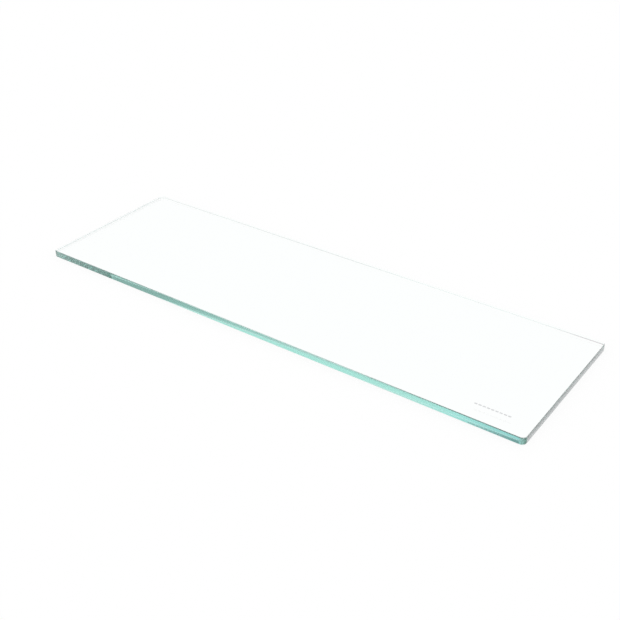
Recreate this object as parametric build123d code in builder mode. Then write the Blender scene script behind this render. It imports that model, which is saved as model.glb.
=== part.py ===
from build123d import *
import os

# Sliding door glass of a refrigerator: one bare toughened pane, in millimetres.
# It lies flat, with X along the length, Y across the width and Z up through the glass.
# The origin is at the middle of the underside.

# The cut size of the glass.
pane_length = 460.0
pane_width = 140.0
pane_thickness = 6.0

# The corners are dubbed round in plan, so that they neither cut nor chip.
corner_radius = 4.0

# The edges are ground flat and square, with a 45 degree arris along both faces.
arris_leg = 0.5

os.makedirs("parts", exist_ok=True)

with BuildPart() as glass_pane:
    with BuildSketch(Plane.XY):
        RectangleRounded(pane_length, pane_width, corner_radius)
    extrude(amount=pane_thickness)

    # The arris runs all the way round the underside and the upper face.
    edges_by_height = glass_pane.edges().group_by(Axis.Z)
    chamfer(edges_by_height[0] + edges_by_height[-1], length=arris_leg)

glass_pane.part.label = "glass_pane"
export_step(glass_pane.part, "parts/glass_pane.step")
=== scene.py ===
import math
import bpy
import bmesh
from mathutils import Matrix, Vector


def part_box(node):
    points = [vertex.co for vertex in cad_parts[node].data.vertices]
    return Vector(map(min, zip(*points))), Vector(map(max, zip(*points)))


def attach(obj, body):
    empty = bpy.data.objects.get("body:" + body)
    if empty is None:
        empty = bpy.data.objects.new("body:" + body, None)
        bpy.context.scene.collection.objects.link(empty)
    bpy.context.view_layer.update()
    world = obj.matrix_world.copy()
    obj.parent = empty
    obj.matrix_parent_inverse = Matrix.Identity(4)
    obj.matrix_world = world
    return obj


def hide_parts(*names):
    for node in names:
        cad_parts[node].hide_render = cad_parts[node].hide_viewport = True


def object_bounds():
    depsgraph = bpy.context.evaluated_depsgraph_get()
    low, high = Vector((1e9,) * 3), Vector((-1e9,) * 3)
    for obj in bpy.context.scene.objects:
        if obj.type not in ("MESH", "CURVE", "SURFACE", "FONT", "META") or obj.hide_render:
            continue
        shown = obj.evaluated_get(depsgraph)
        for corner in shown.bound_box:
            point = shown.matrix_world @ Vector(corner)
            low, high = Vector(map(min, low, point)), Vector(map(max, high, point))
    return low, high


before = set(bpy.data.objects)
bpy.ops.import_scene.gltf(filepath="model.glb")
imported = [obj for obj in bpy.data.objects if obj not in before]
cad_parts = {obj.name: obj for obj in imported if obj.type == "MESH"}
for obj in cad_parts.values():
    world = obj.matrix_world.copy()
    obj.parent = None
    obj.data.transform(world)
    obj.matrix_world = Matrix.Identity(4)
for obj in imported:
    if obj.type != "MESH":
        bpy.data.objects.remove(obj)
cadLow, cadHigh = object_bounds()  # the box of the solids, before anything is dressed
scene = bpy.context.scene
mm = 0.001
noiseMiddle = 0.5  # the level that a noise swings about
print("frame loaded,", len(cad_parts), "node")


# small helpers for meshes and nodes

def meshPiece(name, bm, material):
    mesh = bpy.data.meshes.new(name)
    bm.to_mesh(mesh)
    bm.free()
    mesh.materials.append(material)
    piece = bpy.data.objects.new(name, mesh)
    scene.collection.objects.link(piece)
    return piece


def roundedSlab(length, width, thickness, radius, segments):
    bm = bmesh.new()
    bmesh.ops.create_grid(bm, x_segments=1, y_segments=1, size=0.5)  # a square of one by one
    bmesh.ops.scale(bm, vec=(length, width, 1.0), verts=bm.verts)
    bmesh.ops.bevel(bm, geom=bm.verts[:], offset=radius, offset_type="OFFSET", affect="VERTICES",
                    segments=segments, profile=0.5, material=-1)
    drawn = bmesh.ops.extrude_face_region(bm, geom=bm.faces[:])
    raised = [item for item in drawn["geom"] if isinstance(item, bmesh.types.BMVert)]
    bmesh.ops.translate(bm, vec=(0.0, 0.0, thickness), verts=raised)
    bmesh.ops.recalc_face_normals(bm, faces=bm.faces)
    return bm


def addNode(tree, kind, values=None, **settings):
    node = tree.nodes.new(kind)
    for name, value in settings.items():
        setattr(node, name, value)
    for socket, value in (values or {}).items():
        node.inputs[socket].default_value = value
    return node


def plug(tree, source, target):
    if isinstance(source, bpy.types.NodeSocket):
        tree.links.new(source, target)
    else:
        target.default_value = source


def calc(tree, operation, first, second=0.0, third=0.0):
    node = addNode(tree, "ShaderNodeMath", operation=operation)
    for socket, source in zip(node.inputs, (first, second, third)):
        plug(tree, source, socket)
    return node.outputs[0]


def times(tree, first, second):
    return calc(tree, "MULTIPLY", first, second)


# what is left of a mask outside another one
def without(tree, mask, other):
    return calc(tree, "SUBTRACT", mask, times(tree, mask, other))


# a value that rises by a share where a mask is
def addShare(tree, value, mask, share):
    return calc(tree, "MULTIPLY_ADD", mask, share, value)


def ramp(tree, value, low, high, toLow=0.0, toHigh=1.0):
    node = addNode(tree, "ShaderNodeMapRange", interpolation_type="SMOOTHSTEP")
    for socket, source in zip(node.inputs, (value, low, high, toLow, toHigh)):
        plug(tree, source, socket)
    return node.outputs[0]


def blendColour(tree, factor, first, second):
    node = addNode(tree, "ShaderNodeMix", data_type="RGBA")
    plug(tree, factor, node.inputs[0])
    plug(tree, first, node.inputs[6])
    plug(tree, second, node.inputs[7])
    return node.outputs[2]


def noise(tree, where, scale, detail):
    node = addNode(tree, "ShaderNodeTexNoise", {"Scale": scale, "Detail": detail})
    tree.links.new(where, node.inputs["Vector"])
    return node.outputs[0]


# how far a noise is from its middle level
def swing(tree, level):
    return calc(tree, "SUBTRACT", level, noiseMiddle)


def splitVector(tree, vector):
    node = addNode(tree, "ShaderNodeSeparateXYZ")
    tree.links.new(vector, node.inputs[0])
    return node.outputs


def grey(level):
    return (level, level, level, 1.0)


# a grey level that follows a value through a few stops
def stopRamp(tree, value, stops):
    first, last = stops[0], stops[-1]
    span = last[0] - first[0]
    node = addNode(tree, "ShaderNodeValToRGB")
    plug(tree, calc(tree, "MULTIPLY_ADD", value, 1.0 / span, -first[0] / span), node.inputs[0])
    marks = node.color_ramp.elements
    marks[0].color = grey(first[1])
    marks[1].color = grey(last[1])
    for place, level in stops[1:-1]:
        marks.new((place - first[0]) / span).color = grey(level)
    return node.outputs[0]


def newMaterial(name):
    material = bpy.data.materials.new(name)
    material.use_nodes = True
    tree = material.node_tree
    return material, tree, tree.nodes["Principled BSDF"]


# the pane: clear float glass, its long edges polished, its ends and arrises ground

glassFinish = {
    "ior": 1.54,
    "absorbDensity": 2.5,  # per metre in the red, and less in the green and blue
    "absorbColour": (0.0, 0.844, 0.696, 1.0),

    # how squarely a spot faces the ends or the two faces, where it begins to count as one and is one
    "endFacing": (0.985, 0.998),
    "faceFacing": (0.8, 0.95),
    "arrisFacing": (0.3, 0.6),
    "sideFacing": 0.3,  # below this it faces neither
    "carriedDepth": 1,  # bounces after which light counts as carried along the pane

    # the two long edges
    "edgeColour": (0.56, 0.82, 0.77, 1.0),  # what both let through together
    "edgeCoolReflection": (0.45, 0.80, 0.81, 1.0),  # and towards the right end, with a painted reflection
    "edgeCoolReach": (130 * mm, 200 * mm),
    "edgeUpperShade": (0.40, 0.60, 0.565, 1.0),  # painted shade, just under the arris where it is painted pale
    "edgeUpperReach": (3.6 * mm, 4.8 * mm),
    "edgeLeftShade": (0.40, 0.34, 0.325, 1.0),  # painted shade, high up beside the left corners
    "edgeLeftReach": (8 * mm, 5 * mm),  # from the left end, where that begins and is full
    "edgeLeftHeight": (2.4 * mm, 3.6 * mm),
    "edgeRough": 0.03,

    # the arris, seen from outside
    "arrisDark": (0.38, 0.52, 0.49, 1.0),
    "arrisReflected": (0.66, 0.86, 0.81, 1.0),
    # painted reflection: how pale it is along the length, by millimetres from the middle
    "arrisReflectionAlong": ((-230, 0.35), (-130, 0.35), (-60, 1.0), (90, 1.0), (140, 0.45), (185, 0.05),
                      (230, 0.0)),
    "arrisPaleHaze": 0.45,
    "arrisEnd": (0.86, 0.81, 0.815, 1.0),  # along the ends
    "arrisRough": 0.28,
    "arrisTransmission": 0.8,

    # the arris of the long edges, seen through the glass
    "arrisInside": (0.40, 0.27, 0.31, 1.0),  # painted shade, where it is darkest
    # painted shade: how dark it is along the length, by millimetres from the middle
    "arrisShadeAlong": ((-230, 0.0), (-150, 0.05), (-100, 0.32), (-35, 0.5), (10, 0.4), (40, 0.15), (70, 0.0),
                  (165, 0.0), (190, 0.25), (208, 0.85), (230, 1.0)),
    "arrisRoughInside": 0.2,

    # the corners, left satin
    "cornerColour": (0.33, 0.49, 0.455, 1.0),
    "cornerLeftShade": (0.05, 0.05, 0.05, 1.0),  # painted shade, high up on those at the left end
    "cornerReach": (5.0 * mm, 2.5 * mm),  # from the ends, where the satin begins and is full
    "cornerRough": 0.28,
    "cornerTransmission": 0.8,

    # the ground ends
    "endDark": (0.46, 0.475, 0.48, 1.0),  # upper half
    "endPale": (0.65, 0.665, 0.67, 1.0),  # lower half
    "endPaleHeight": (4.2 * mm, 1.8 * mm),
    "endFarReach": (-30 * mm, 50 * mm),  # paler again towards the far side
    "endFarPaler": 0.45,
    "endStreaks": 1.2,  # how much the streaks and the grain change the tone
    "endSpeckle": 1.6,
    "endRough": 0.5,
    "endRoughSpread": 0.3,
    "endTransmission": 0.2,
    "endGrain": 0.05 * mm,
    "endInside": (0.45, 0.45, 0.45, 1.0),  # seen through the glass
    "endRoughInside": 0.08,
    "endHazeInside": 0.04,

    # grinding streaks run along the edges, with grain over them
    "streakStretch": 0.03,
    "streakScale": 1800.0,
    "streakDetail": 3.0,
    "grainScale": 1500.0,
    "grainDetail": 2.0,
}


# where each finish, painted shade and painted reflection is, by the way a spot faces, the side it is seen
# from and its place
def glassMasks(tree, where):
    mask = {}
    geometry = addNode(tree, "ShaderNodeNewGeometry").outputs
    inside = geometry["Backfacing"]
    facing = splitVector(tree, geometry["True Normal"])
    towardsEnd = calc(tree, "ABSOLUTE", facing[0])
    towardsFace = calc(tree, "ABSOLUTE", facing[2])
    mask["end"] = ramp(tree, towardsEnd, *glassFinish["endFacing"])
    mask["endInside"] = times(tree, mask["end"], inside)
    mask["endGround"] = calc(tree, "SUBTRACT", mask["end"], mask["endInside"])
    mask["face"] = ramp(tree, towardsFace, *glassFinish["faceFacing"])
    upright = calc(tree, "LESS_THAN", towardsFace, glassFinish["sideFacing"])
    mask["edge"] = calc(tree, "SUBTRACT", upright, mask["end"])
    mask["longSide"] = calc(tree, "LESS_THAN", towardsEnd, glassFinish["sideFacing"])
    arris = calc(tree, "SUBTRACT", ramp(tree, towardsFace, *glassFinish["arrisFacing"]), mask["face"])
    mask["arrisGround"] = without(tree, arris, inside)
    mask["arrisInside"] = times(tree, times(tree, arris, inside), mask["longSide"])

    # light that has run along the pane finds its ends as rough as they are from outside
    bounces = addNode(tree, "ShaderNodeLightPath").outputs["Ray Depth"]
    carried = calc(tree, "GREATER_THAN", bounces, glassFinish["carriedDepth"])
    mask["clearInside"] = without(tree, inside, carried)

    # the corners are satin; along the arris, painted shade darkens some stretches seen through the glass,
    # and a painted reflection makes others pale from outside
    along, across, height = splitVector(tree, where)
    begins, full = (cadHigh.x - reach for reach in glassFinish["cornerReach"])
    nearEnd = ramp(tree, calc(tree, "ABSOLUTE", along), begins, full)
    mask["satin"] = times(tree, nearEnd, without(tree, mask["edge"], mask["clearInside"]))
    fromMiddle = calc(tree, "DIVIDE", along, mm)
    mask["dull"] = times(tree, mask["arrisInside"], stopRamp(tree, fromMiddle, glassFinish["arrisShadeAlong"]))
    mask["pale"] = times(tree, stopRamp(tree, fromMiddle, glassFinish["arrisReflectionAlong"]), mask["longSide"])

    # the tone of the edges and ends changes along, across and upwards, on the edges by painted reflection
    # and painted shade
    mask["cool"] = ramp(tree, along, *glassFinish["edgeCoolReach"])
    # painted shade on the long edges, just under the stretches where the arris is painted pale
    upper = times(tree, mask["pale"], ramp(tree, height, *glassFinish["edgeUpperReach"]))
    mask["upper"] = without(tree, upper, inside)
    # painted shade high up beside the left corners, on the edges and on the corners
    begins, full = (cadLow.x + reach for reach in glassFinish["edgeLeftReach"])
    left = times(tree, ramp(tree, along, begins, full), ramp(tree, height, *glassFinish["edgeLeftHeight"]))
    mask["left"] = without(tree, left, inside)
    mask["endLow"] = ramp(tree, height, *glassFinish["endPaleHeight"])
    mask["endFar"] = ramp(tree, across, *glassFinish["endFarReach"])
    return mask


def glassColour(tree, mask, streaks, grain):
    # painted reflection: the long edges turn cooler towards the right end
    edge = blendColour(tree, mask["cool"], glassFinish["edgeColour"], glassFinish["edgeCoolReflection"])
    # painted shade just under the pale arris
    edge = blendColour(tree, mask["upper"], edge, glassFinish["edgeUpperShade"])
    # painted shade high up beside the left corners
    edge = blendColour(tree, mask["left"], edge, glassFinish["edgeLeftShade"])
    # painted reflection: the arris is pale in some stretches
    arris = blendColour(tree, mask["pale"], glassFinish["arrisDark"], glassFinish["arrisReflected"])
    arris = blendColour(tree, mask["longSide"], glassFinish["arrisEnd"], arris)
    # painted shade high up on the corners at the left end
    corner = blendColour(tree, mask["left"], glassFinish["cornerColour"], glassFinish["cornerLeftShade"])
    paler = addShare(tree, mask["endLow"], swing(tree, streaks), glassFinish["endStreaks"])
    paler = addShare(tree, paler, swing(tree, grain), glassFinish["endSpeckle"])
    paler = addShare(tree, paler, mask["endFar"], glassFinish["endFarPaler"])
    end = blendColour(tree, paler, glassFinish["endDark"], glassFinish["endPale"])

    # each finish, painted shade and painted reflection is laid over the ones before it, on clear glass
    colour = blendColour(tree, mask["edge"], grey(1.0), edge)
    colour = blendColour(tree, mask["endInside"], colour, glassFinish["endInside"])
    colour = blendColour(tree, mask["arrisGround"], colour, arris)
    # painted shade on the arris seen through the glass
    colour = blendColour(tree, mask["dull"], colour, glassFinish["arrisInside"])
    colour = blendColour(tree, mask["satin"], colour, corner)
    return blendColour(tree, mask["endGround"], colour, end)


def glassClearness(tree, mask):
    # where a painted reflection makes the arris pale, it also lets less light through
    hazy = times(tree, mask["pale"], mask["arrisGround"])
    clear = addShare(tree, 1.0, mask["endGround"], glassFinish["endTransmission"] - 1.0)
    clear = addShare(tree, clear, mask["arrisGround"], glassFinish["arrisTransmission"] - 1.0)
    clear = addShare(tree, clear, mask["satin"], glassFinish["cornerTransmission"] - 1.0)
    clear = addShare(tree, clear, hazy, -glassFinish["arrisPaleHaze"])
    return addShare(tree, clear, mask["endInside"], -glassFinish["endHazeInside"])


def glassRoughness(tree, mask, streaks, grain):
    edge = times(tree, streaks, glassFinish["edgeRough"] / noiseMiddle)
    edge = addShare(tree, edge, mask["arrisGround"], glassFinish["arrisRough"])
    edge = addShare(tree, edge, mask["arrisInside"], glassFinish["arrisRoughInside"])
    edge = addShare(tree, edge, mask["satin"], glassFinish["cornerRough"])
    edge = without(tree, edge, mask["face"])
    end = addShare(tree, glassFinish["endRough"], swing(tree, grain), glassFinish["endRoughSpread"])
    end = addShare(tree, end, mask["clearInside"], glassFinish["endRoughInside"] - glassFinish["endRough"])
    return calc(tree, "MAXIMUM", edge, times(tree, mask["end"], end))


def makeGlass():
    material, tree, shader = newMaterial("float_glass")
    shader.inputs["IOR"].default_value = glassFinish["ior"]
    where = addNode(tree, "ShaderNodeTexCoord").outputs["Object"]
    mask = glassMasks(tree, where)
    stretch = glassFinish["streakStretch"]
    drawn = addNode(tree, "ShaderNodeMapping", {"Scale": (stretch, stretch, 1.0)})
    tree.links.new(where, drawn.inputs["Vector"])
    streaks = noise(tree, drawn.outputs[0], glassFinish["streakScale"], glassFinish["streakDetail"])
    grain = noise(tree, where, glassFinish["grainScale"], glassFinish["grainDetail"])

    plug(tree, glassColour(tree, mask, streaks, grain), shader.inputs["Base Color"])
    plug(tree, glassClearness(tree, mask), shader.inputs["Transmission Weight"])
    plug(tree, glassRoughness(tree, mask, streaks, grain), shader.inputs["Roughness"])
    bump = addNode(tree, "ShaderNodeBump", {"Distance": glassFinish["endGrain"]})
    plug(tree, mask["endGround"], bump.inputs["Strength"])
    plug(tree, grain, bump.inputs["Height"])
    tree.links.new(bump.outputs[0], shader.inputs["Normal"])
    tint = addNode(tree, "ShaderNodeVolumeAbsorption",
                   {"Color": glassFinish["absorbColour"], "Density": glassFinish["absorbDensity"]})
    tree.links.new(tint.outputs[0], tree.nodes["Material Output"].inputs["Volume"])
    return material


pane = {
    "cornerRadius": 4.0 * mm,
    "cornerSegments": 24,
    "arris": 0.5 * mm,
    "smoothBelow": 20 * mm * mm,  # only the narrow faces of the round corners are smooth
    "sharpFrom": math.radians(30),  # and they stay crisp along the arris
}


def buildPane(material):
    low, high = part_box("glass_pane")
    size = high - low
    bm = roundedSlab(size.x, size.y, size.z, pane["cornerRadius"], pane["cornerSegments"])
    rims = [edge for edge in bm.edges if abs(edge.verts[0].co.z - edge.verts[1].co.z) < size.z / 2]
    bmesh.ops.bevel(bm, geom=rims, offset=pane["arris"], offset_type="OFFSET", affect="EDGES",
                    segments=1, profile=0.5, material=-1, clamp_overlap=True)
    middle = (low + high) / 2
    bmesh.ops.translate(bm, vec=(middle.x, middle.y, low.z), verts=bm.verts)
    for face in bm.faces:
        face.smooth = face.calc_area() < pane["smoothBelow"]
    for edge in bm.edges:
        edge.smooth = edge.calc_face_angle(0.0) < pane["sharpFrom"]
    piece = meshPiece("glass_pane_visual", bm, material)
    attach(piece, "root")
    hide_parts("glass_pane")
    return piece


glassPane = buildPane(makeGlass())
print("glass pane built,", len(glassPane.data.polygons), "faces")


# a row of plain dashes fired on to the upper face near one corner

dashes = {
    "count": 9,
    "length": 2.4 * mm,
    "height": 1.3 * mm,
    "pitch": 3.2 * mm,
    "rounding": 0.4 * mm,
    "roundingSegments": 4,
    "middle": (198.0 * mm, -53.6 * mm),
    "film": 0.02 * mm,
    "sunk": 0.01 * mm,
    "colour": (0.62, 0.63, 0.64, 1.0),
    "worn": (0.76, 0.77, 0.78, 1.0),
    "wornReach": (0.4, 0.7),  # the levels of the grain where wear begins and is full
    "grainScale": 2500.0,
    "grainDetail": 2.0,
    "rough": 0.4,
    "roughSpread": 0.3,
}


def makeEnamel():
    material, tree, shader = newMaterial("grey_enamel")
    where = addNode(tree, "ShaderNodeTexCoord").outputs["Object"]
    grain = noise(tree, where, dashes["grainScale"], dashes["grainDetail"])
    wear = ramp(tree, grain, *dashes["wornReach"])
    plug(tree, blendColour(tree, wear, dashes["colour"], dashes["worn"]), shader.inputs["Base Color"])
    plug(tree, addShare(tree, dashes["rough"], grain, dashes["roughSpread"]), shader.inputs["Roughness"])
    return material


def buildDashes(material):
    depth = dashes["film"] + dashes["sunk"]
    bm = roundedSlab(dashes["length"], dashes["height"], depth,
                     dashes["rounding"], dashes["roundingSegments"])
    first = bm.verts[:] + bm.edges[:] + bm.faces[:]
    for step in range(1, dashes["count"]):
        copy = bmesh.ops.duplicate(bm, geom=first)
        moved = [item for item in copy["geom"] if isinstance(item, bmesh.types.BMVert)]
        bmesh.ops.translate(bm, vec=(step * dashes["pitch"], 0.0, 0.0), verts=moved)
    row = (dashes["count"] - 1) * dashes["pitch"]
    place = Vector((dashes["middle"][0] - row / 2, dashes["middle"][1], cadHigh.z - dashes["sunk"]))
    bmesh.ops.translate(bm, vec=place, verts=bm.verts)
    piece = meshPiece("fired_dashes", bm, material)
    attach(piece, "root")


buildDashes(makeEnamel())
print("dashes laid,", dashes["count"])


# the camera, from the photograph's own vanishing lines

view = {
    "azimuth": 36.6358,
    "elevation": 31.8201,
    "roll": -0.9014,
    "distance": 777.975 * mm,
    "target": (18.853 * mm, -20.515 * mm, 6.0 * mm),
    "lens": 56.3486,
    "sensor": 36.0,
}


def makeCamera():
    turn, rise, roll = (math.radians(view[key]) for key in ("azimuth", "elevation", "roll"))
    back = Vector((math.sin(turn) * math.cos(rise), -math.cos(turn) * math.cos(rise), math.sin(rise)))
    data = bpy.data.cameras.new("camera")
    data.lens = view["lens"]
    data.sensor_width = view["sensor"]
    camera = bpy.data.objects.new("camera", data)
    place = Matrix.Translation(Vector(view["target"]) + back * view["distance"])
    aim = back.to_track_quat("Z", "Y").to_matrix().to_4x4()
    camera.matrix_world = place @ aim @ Matrix.Rotation(roll, 4, "Z")
    scene.collection.objects.link(camera)
    scene.camera = camera


makeCamera()
print("camera placed")


# the stage: a pale floor and a soft, even studio

studio = {
    "floorSize": 12.0,
    "floorDrop": 0.2 * mm,
    "floorMatte": 0.8,
    "floorShare": 0.12,  # how much of the floor's white takes the shadow
    # how bright the glass finds its surroundings, by bearing in degrees from +Y towards +X
    "ring": ((-180, 0.9), (-100, 0.9), (-60, 0.44), (-48, 0.5), (-38, 0.92), (-26, 1.0), (-20.5, 0.26),
             (15, 0.1), (40, 0.3), (60, 0.3), (80, 0.9), (180, 0.9)),
    "ringDepth": 6,  # bounces after which light counts as carried along the pane
    "floorFade": (145 * mm, 180 * mm),  # either way along X, where such light finds the floor dimmer
    "floorLeft": 0.7,
    "floorRight": 0.86,
    "bounces": 64,
}


def blendShader(tree, factor, first, second):
    node = addNode(tree, "ShaderNodeMixShader")
    for socket, source in zip(node.inputs, (factor, first, second)):
        tree.links.new(source, socket)
    return node.outputs[0]


def makeFloor():
    material, tree, shader = newMaterial("white_floor")
    tree.nodes.remove(shader)
    matte = addNode(tree, "ShaderNodeBsdfDiffuse", {"Color": grey(studio["floorMatte"])})
    pale = addNode(tree, "ShaderNodeBsdfDiffuse", {"Color": grey(studio["floorShare"])})
    glow = addNode(tree, "ShaderNodeEmission", {"Strength": 1.0 - studio["floorShare"]})
    white = addNode(tree, "ShaderNodeEmission")
    shown = addNode(tree, "ShaderNodeAddShader")
    tree.links.new(pale.outputs[0], shown.inputs[0])
    tree.links.new(glow.outputs[0], shown.inputs[1])
    path = addNode(tree, "ShaderNodeLightPath").outputs
    carried = calc(tree, "GREATER_THAN", path["Ray Depth"], studio["ringDepth"])
    along = splitVector(tree, addNode(tree, "ShaderNodeTexCoord").outputs["Object"])[0]
    near, far = studio["floorFade"]
    fade = ramp(tree, along, near, far, 0.0, 1.0 - studio["floorRight"])
    fade = calc(tree, "ADD", fade, ramp(tree, along, -near, -far, 0.0, 1.0 - studio["floorLeft"]))
    fade = times(tree, carried, fade)
    plug(tree, calc(tree, "SUBTRACT", 1.0, fade), white.inputs["Strength"])
    seen = calc(tree, "MAXIMUM", path["Is Camera Ray"], path["Is Glossy Ray"])
    seen = blendShader(tree, seen, matte.outputs[0], shown.outputs[0])
    through = blendShader(tree, path["Is Transmission Ray"], seen, white.outputs[0])
    tree.links.new(through, tree.nodes["Material Output"].inputs["Surface"])
    bm = bmesh.new()
    bmesh.ops.create_grid(bm, x_segments=1, y_segments=1, size=studio["floorSize"] / 2)
    bmesh.ops.translate(bm, vec=(0.0, 0.0, cadLow.z - studio["floorDrop"]), verts=bm.verts)
    meshPiece("floor", bm, material)


def makeWorld():
    world = bpy.data.worlds.new("studio")
    world.use_nodes = True
    scene.world = world
    tree = world.node_tree
    sky = tree.nodes["Background"]
    sky.inputs["Color"].default_value = grey(1.0)
    # light carried along the pane finds one bright panel in a dimmer studio, all other light an even white
    way = splitVector(tree, addNode(tree, "ShaderNodeTexCoord").outputs["Generated"])
    bearing = calc(tree, "DEGREES", calc(tree, "ARCTAN2", way[0], way[1]))
    ring = stopRamp(tree, bearing, studio["ring"])
    path = addNode(tree, "ShaderNodeLightPath").outputs
    carried = calc(tree, "GREATER_THAN", path["Ray Depth"], studio["ringDepth"])
    level = addNode(tree, "ShaderNodeMix", {2: 1.0}, data_type="FLOAT")
    tree.links.new(times(tree, carried, path["Is Transmission Ray"]), level.inputs[0])
    tree.links.new(ring, level.inputs[3])
    tree.links.new(level.outputs[0], sky.inputs["Strength"])


makeFloor()
makeWorld()
scene.cycles.max_bounces = studio["bounces"]  # light runs a long way inside the pane
scene.cycles.glossy_bounces = studio["bounces"]
scene.cycles.transmission_bounces = studio["bounces"]
scene.view_settings.view_transform = "Standard"
print("stage lit")
